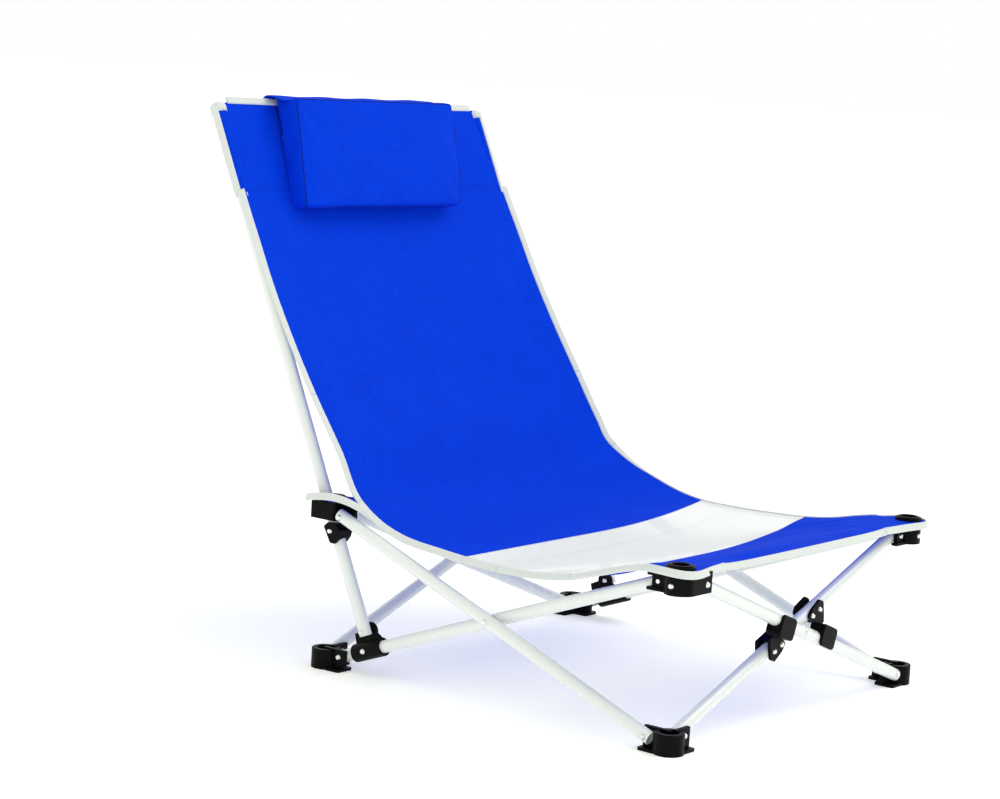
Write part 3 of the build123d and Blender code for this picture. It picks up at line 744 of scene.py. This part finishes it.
EAR_PATH = [
    (262.5, -214, 210), (266, -223, 211.5), (272, -236, 213), (277, -250, 214), (278.5, -264, 214),
    (276, -275, 213.6), (268, -281.6, 213), (255, -283.4, 212.8), (240, -280.5, 212.6),
    (222, -276, 212), (203, -272, 211.3), (184, -268.4, 210.8),
]
EAR_CLOSE = [
    (190, -262, 209.6), (214, -257, 210), (230, -250, 210.8), (233, -237, 210.8), (243, -222, 210.4),
    (262.5, -214, 209.8),
]
WING_PATHS = {
    "right": [
        (259.5, 196, 202.5), (263, 206, 208.5), (270, 216, 215.5), (278, 227, 221), (283, 240, 223.5),
        (285, 255, 223), (285.5, 269, 221), (284, 283, 217.5),
    ],
    "left": [
        (261, 190, 235.5), (266, 202, 238), (274, 214, 237), (281, 226, 232), (285, 240, 227),
        (286, 256, 225.5), (286, 269, 222.5), (284, 282, 218.5),
    ],
}
WING_CLOSE = [(245, 207, 208), (228, 215, 210.5), (221, 236, 211.8), (223, 258, 212), (231, 277, 212)]


def mirrored(stations, side):
    return [(side * x, y, z) for x, y, z in stations]


for side, word in ((-1, "right"), (1, "left")):
    hub, patch = f"front_{word}_hub", f"front_{word}_corner_patch"
    centre = (side * 260, -260, 212.9)
    outline = smooth_path(mirrored(EAR_PATH + EAR_CLOSE, side), 150)
    ring_cloth(f"front_{word}_ear", centre, 10.3, outline, hub, patch)
    path = smooth_path(mirrored(EAR_PATH, side), 110)
    share = np.sin(np.linspace(0, math.pi, len(path)))
    bind_corner(f"front_{word}_ear_binding", path, centre, 55 + 26 * share, hub)
    hub, patch = f"rear_{word}_hub", f"rear_{word}_corner_patch"
    centre = (side * 260, 258, 213.0)
    path = smooth_path(mirrored(WING_PATHS[word], side), 80)
    close = smooth_path(mirrored([WING_PATHS[word][0]] + WING_CLOSE, side), 60)
    outline = np.vstack([path[::-1], close[1:]])
    ring_cloth(f"rear_{word}_wing", centre, 14, outline, hub, patch)
    bind_corner(f"rear_{word}_wing_binding", path, centre, np.linspace(58, 80, len(path)), hub)


# ---- the head cushion ---------------------------------------------------------------------------
BACK_TOP = np.array([0, 0.485, 0.691])
UP_BACK = POST_WAY
OFF_BACK = POST_FRONT
# Across, up and off the back, in millimetres, at the top and the bottom of the cushion.
CUSHION_TOP = {"middle": -0.5, "half": 160, "up": (6, -8), "off": (5, 41)}
CUSHION_FOOT = {"middle": -13.5, "half": 160, "up": (-140, -150), "off": (-12, 18)}
VOXEL = 0.005
SWELL_LIMIT = 0.008
SWELL_FRAMES = 20


def cushion_point(across, height, depth):
    """A point of the cushion's box: across -1 to 1, height 0 to 1, depth 0 behind to 1 in front."""
    ends = []
    for end in (CUSHION_FOOT, CUSHION_TOP):
        x = end["middle"] + across * end["half"]
        up = end["up"][0] + (end["up"][1] - end["up"][0]) * depth
        off = end["off"][0] + (end["off"][1] - end["off"][0]) * depth
        ends.append(np.array([x, 0, 0]) + UP_BACK * up + OFF_BACK * off)
    return BACK_TOP + (ends[0] * (1 - height) + ends[1] * height) * MM


def applied(piece):
    """Replace a piece's mesh by its modified one."""
    graph = bpy.context.evaluated_depsgraph_get()
    graph.update()
    mesh = bpy.data.meshes.new_from_object(piece.evaluated_get(graph))
    piece.modifiers.clear()
    piece.data = mesh
    return piece


def positions(piece):
    found = np.zeros(len(piece.data.vertices) * 3)
    piece.data.vertices.foreach_get("co", found)
    return found.reshape(-1, 3)


def edge_distance(points, inset):
    """Distance of each point from the nearest of the box's four front and four rear edges."""
    nearest = np.full(len(points), 9.0)
    for depth in (0, 1):
        corners = [cushion_point(a, h, depth) for a, h in ((-1, 0), (1, 0), (1, 1), (-1, 1))]
        for index, start in enumerate(corners):
            end = corners[(index + 1) % 4]
            way = end - start
            share = np.clip(((points - start) @ way) / (way @ way), 0, 1)
            nearest = np.minimum(nearest, np.linalg.norm(points - start - share[:, None] * way, axis=1))
    return np.clip(nearest / inset, 0, 1)


def swell(piece):
    """Blow the cushion up as cloth, its seamed edges held."""
    rest = positions(piece)
    hold = 1 - edge_distance(rest, 0.012)
    group = piece.vertex_groups.new(name="seams")
    for index in np.nonzero(hold > 0.01)[0]:
        group.add([int(index)], float(hold[index]), "REPLACE")
    cloth = piece.modifiers.new("swell", "CLOTH")
    cloth.settings.quality = 6
    cloth.settings.mass = 0.15
    cloth.settings.tension_stiffness = 12
    cloth.settings.compression_stiffness = 12
    cloth.settings.bending_stiffness = 0.4
    cloth.settings.use_pressure = True
    cloth.settings.uniform_pressure_force = 4
    cloth.settings.vertex_group_mass = "seams"
    cloth.settings.effector_weights.gravity = 0
    cloth.collision_settings.use_self_collision = False
    cloth.point_cache.frame_end = SWELL_FRAMES
    for frame_number in range(1, SWELL_FRAMES + 1):
        bpy.context.scene.frame_set(frame_number)
    applied(piece)
    bpy.context.scene.frame_set(1)
    moved = positions(piece) - rest
    far = np.linalg.norm(moved, axis=1, keepdims=True)
    moved = moved * np.minimum(1, SWELL_LIMIT / np.maximum(far, 1e-9))
    piece.data.vertices.foreach_set("co", (rest + moved).ravel())


def crease(piece):
    """Shallow creases that fan from the cushion's corners, and an uneven fill."""
    points = positions(piece)
    normals = np.zeros(len(points) * 3)
    piece.data.vertices.foreach_get("normal", normals)
    height = np.zeros(len(points))
    for across, up, count, phase in ((-1, 1, 9, 0.3), (1, 1, 5, 1.1), (-1, 0, 6, 2.0), (1, 0, 5, 0.8)):
        away = points - cushion_point(across, up, 1)
        reach = np.linalg.norm(away, axis=1)
        turn = np.arctan2(away @ UP_BACK, away[:, 0])
        height += 0.0007 * np.sin(turn * count + phase) * bell(reach, 0.040, 0.030)
    for index, point in enumerate(points):
        place = Vector(point)
        height[index] += 0.0013 * (noise.noise(place * 17) + 0.5 * noise.noise(place * 41))
    height *= edge_distance(points, 0.010)
    piece.data.vertices.foreach_set("co", (points + normals.reshape(-1, 3) * height[:, None]).ravel())
    piece.data.update()


def on_surface(piece, path, outward):
    """Where rays from outside a path first meet the piece."""
    tree = BVHTree.FromPolygons([tuple(point) for point in positions(piece)],
                                [tuple(face.vertices) for face in piece.data.polygons])
    found = []
    for point, way in zip(path, outward):
        hit = tree.ray_cast(Vector(point + way * 0.03), -Vector(way), 0.08)[0]
        if hit is not None:
            found.append(tuple(hit))
    return np.array(found)


def seam_cord(name, line, radius, material):
    """A thin closed cord along a loop of points."""
    tangent = unit(np.roll(line, -1, axis=0) - np.roll(line, 1, axis=0))
    side = unit(np.cross(tangent, OFF_BACK + 0.3 * UP_BACK))
    up = np.cross(side, tangent)
    angles = np.linspace(0, 2 * math.pi, 7)[:-1]
    ring = side[:, None] * np.cos(angles)[None, :, None] + up[:, None] * np.sin(angles)[None, :, None]
    points = (line[:, None] + ring * radius).reshape(-1, 3)
    rows = len(line)
    faces = grid_faces(rows, 6, closed=True)
    for column in range(6):
        after = (column + 1) % 6
        last = (rows - 1) * 6
        faces.append((last + column, last + after, after, column))
    return add_mesh(name, points, faces, material)


def make_cushion():
    """The head cushion: a box cushion with a seam round its front face."""
    corners = [cushion_point(a, h, d) for d in (0, 1) for h in (0, 1) for a in (-1, 1)]
    faces = [(0, 1, 3, 2), (4, 6, 7, 5), (0, 4, 5, 1), (2, 3, 7, 6), (0, 2, 6, 4), (1, 5, 7, 3)]
    piece = add_mesh("head_cushion", corners, faces, "blue")
    remesh = piece.modifiers.new("voxels", "REMESH")
    remesh.mode = "VOXEL"
    remesh.voxel_size = VOXEL
    applied(piece)
    swell(piece)
    soften = piece.modifiers.new("soften", "SMOOTH")
    soften.factor = 0.5
    soften.iterations = 2
    finer = piece.modifiers.new("finer", "SUBSURF")
    finer.levels = 1
    finer.render_levels = 1
    applied(piece)
    crease(piece)
    piece.data.polygons.foreach_set("use_smooth", [True] * len(piece.data.polygons))
    dress(piece, "right_post", "blue_fabric", "head_pillow")
    loop, outward = [], []
    turns = [((-1, 0), (1, 0)), ((1, 0), (1, 1)), ((1, 1), (-1, 1)), ((-1, 1), (-1, 0))]
    for start, end in turns:
        for share in np.linspace(0.02, 0.98, 70):
            across = start[0] + (end[0] - start[0]) * share
            up = start[1] + (end[1] - start[1]) * share
            under = start[1] == 0 and end[1] == 0
            loop.append(cushion_point(across, up, 0.72 if under else 1))
            away = OFF_BACK * (0 if under else 1)
            if start[0] == end[0]:
                away = away + np.array([start[0], 0, 0])
            else:
                away = away + UP_BACK * (1 if start[1] else -1)
            outward.append(away / np.linalg.norm(away))
    line = on_surface(piece, loop, outward)
    dress(seam_cord("head_cushion_seam", line, 0.0007, "blue_thread"), "right_post", "blue_fabric")


# Off the back and up it, in millimetres: over the cushion's top, the top edge and down behind.
FLAP = [(24, -6), (14, 1.5), (7, 7), (0, 9.8), (-6, 8), (-9.5, 1), (-11, -15), (-14, -45), (-16, -78)]
FLAP_ENDS = (-171, 156)
FLAP_THICKNESS = 0.0014


def make_flap():
    """The cushion's flap, which hangs it over the top edge of the back."""
    side_view = spline(np.arange(len(FLAP)), np.array(FLAP, float), np.linspace(0, len(FLAP) - 1, 60)) * MM
    across = np.linspace(FLAP_ENDS[0], FLAP_ENDS[1], 70) * MM
    lengths = np.concatenate([[0], np.cumsum(np.linalg.norm(np.diff(side_view, axis=0), axis=1))])
    behind = np.clip((lengths - 0.045) / 0.05, 0, 1)[:, None]
    wave = 0.0012 * np.sin(across * 45)[None, :] * behind
    off = side_view[:, :1] + wave
    up = side_view[:, 1:] + 0.0006 * np.sin(across * 70)[None, :]
    points = BACK_TOP + off[..., None] * OFF_BACK + up[..., None] * UP_BACK
    points[..., 0] = across[None, :] * (1 - 0.02 * behind)
    along = unit(np.gradient(points, axis=0))
    wide = unit(np.gradient(points, axis=1))
    normal = unit(np.cross(along, wide))
    rows, columns = points.shape[:2]
    upper = points.reshape(-1, 3)
    lower = (points - normal * FLAP_THICKNESS).reshape(-1, 3)
    faces = sheet_faces(rows, columns, flip=True)
    uvs = np.stack(np.broadcast_arrays(across[None, :], lengths[:, None]), axis=-1).reshape(-1, 2)
    points, uvs = np.vstack([upper, lower]), np.vstack([uvs, uvs])
    piece = add_mesh("head_cushion_flap", points, faces, "blue", uvs=uvs)
    dress(piece, "right_post", "blue_fabric")


make_cushion()
make_flap()


# ---- floor and light ----------------------------------------------------------------------
def make_floor():
    """A plain pale floor, slightly uneven in tone and faintly lit from below."""
    shader = Shader("pale_floor", (0.965, 0.97, 0.96), 0.7)
    shader.surface.inputs["Specular IOR Level"].default_value = 0.1
    shader.surface.inputs["Emission Color"].default_value = (1.0, 1.0, 0.9, 1)
    shader.surface.inputs["Emission Strength"].default_value = 0.26
    tone = shader.mix(shader.noise(1.5, 2), (0.96, 0.965, 0.955), (0.97, 0.975, 0.965))
    shader.link(tone[0], tone[1], shader.surface, "Base Color")
    materials["floor"] = shader.material
    size = 60
    corners = [(-size, -size, 0), (size, -size, 0), (size, size, 0), (-size, size, 0)]
    add_mesh("floor", corners, [(0, 1, 2, 3)], "floor", smooth=False)


def make_light():
    """A pale studio dome, brightest overhead, and one broad key light from the front left."""
    world = bpy.data.worlds.new("studio")
    world.use_nodes = True
    tree = world.node_tree
    dome = tree.nodes["Background"]
    dome.inputs["Strength"].default_value = 1.0
    place = tree.nodes.new("ShaderNodeTexCoord")
    split = tree.nodes.new("ShaderNodeSeparateXYZ")
    ramp = tree.nodes.new("ShaderNodeValToRGB")
    ramp.color_ramp.elements[0].color = (*DOME_SIDE, 1)
    ramp.color_ramp.elements[1].color = (*DOME_TOP, 1)
    tree.links.new(place.outputs["Generated"], split.inputs["Vector"])
    tree.links.new(split.outputs["Z"], ramp.inputs["Fac"])
    tree.links.new(ramp.outputs["Color"], dome.inputs["Color"])
    backdrop = tree.nodes.new("ShaderNodeBackground")
    backdrop.inputs["Color"].default_value = (1, 1, 1, 1)
    path = tree.nodes.new("ShaderNodeLightPath")
    mixed = tree.nodes.new("ShaderNodeMixShader")
    tree.links.new(path.outputs["Is Camera Ray"], mixed.inputs["Fac"])
    tree.links.new(dome.outputs["Background"], mixed.inputs[1])
    tree.links.new(backdrop.outputs["Background"], mixed.inputs[2])
    tree.links.new(mixed.outputs["Shader"], tree.nodes["World Output"].inputs["Surface"])
    bpy.context.scene.world = world
    data = bpy.data.lights.new("key", "SUN")
    data.energy = KEY_STRENGTH
    data.angle = math.radians(KEY_SPREAD)
    data.color = (1.0, 0.985, 0.975)
    lamp = bpy.data.objects.new("key", data)
    lamp.matrix_world = (-Vector(KEY_FROM)).to_track_quat("-Z", "Y").to_matrix().to_4x4()
    bpy.context.scene.collection.objects.link(lamp)


DOME_SIDE = (0.92, 0.94, 0.86)
DOME_TOP = (0.95, 0.965, 0.93)
KEY_FROM = (0.48, -0.42, 0.9)
KEY_SPREAD = 38
KEY_STRENGTH = 0.78
make_floor()
make_light()
bpy.context.scene.view_settings.view_transform = "Standard"
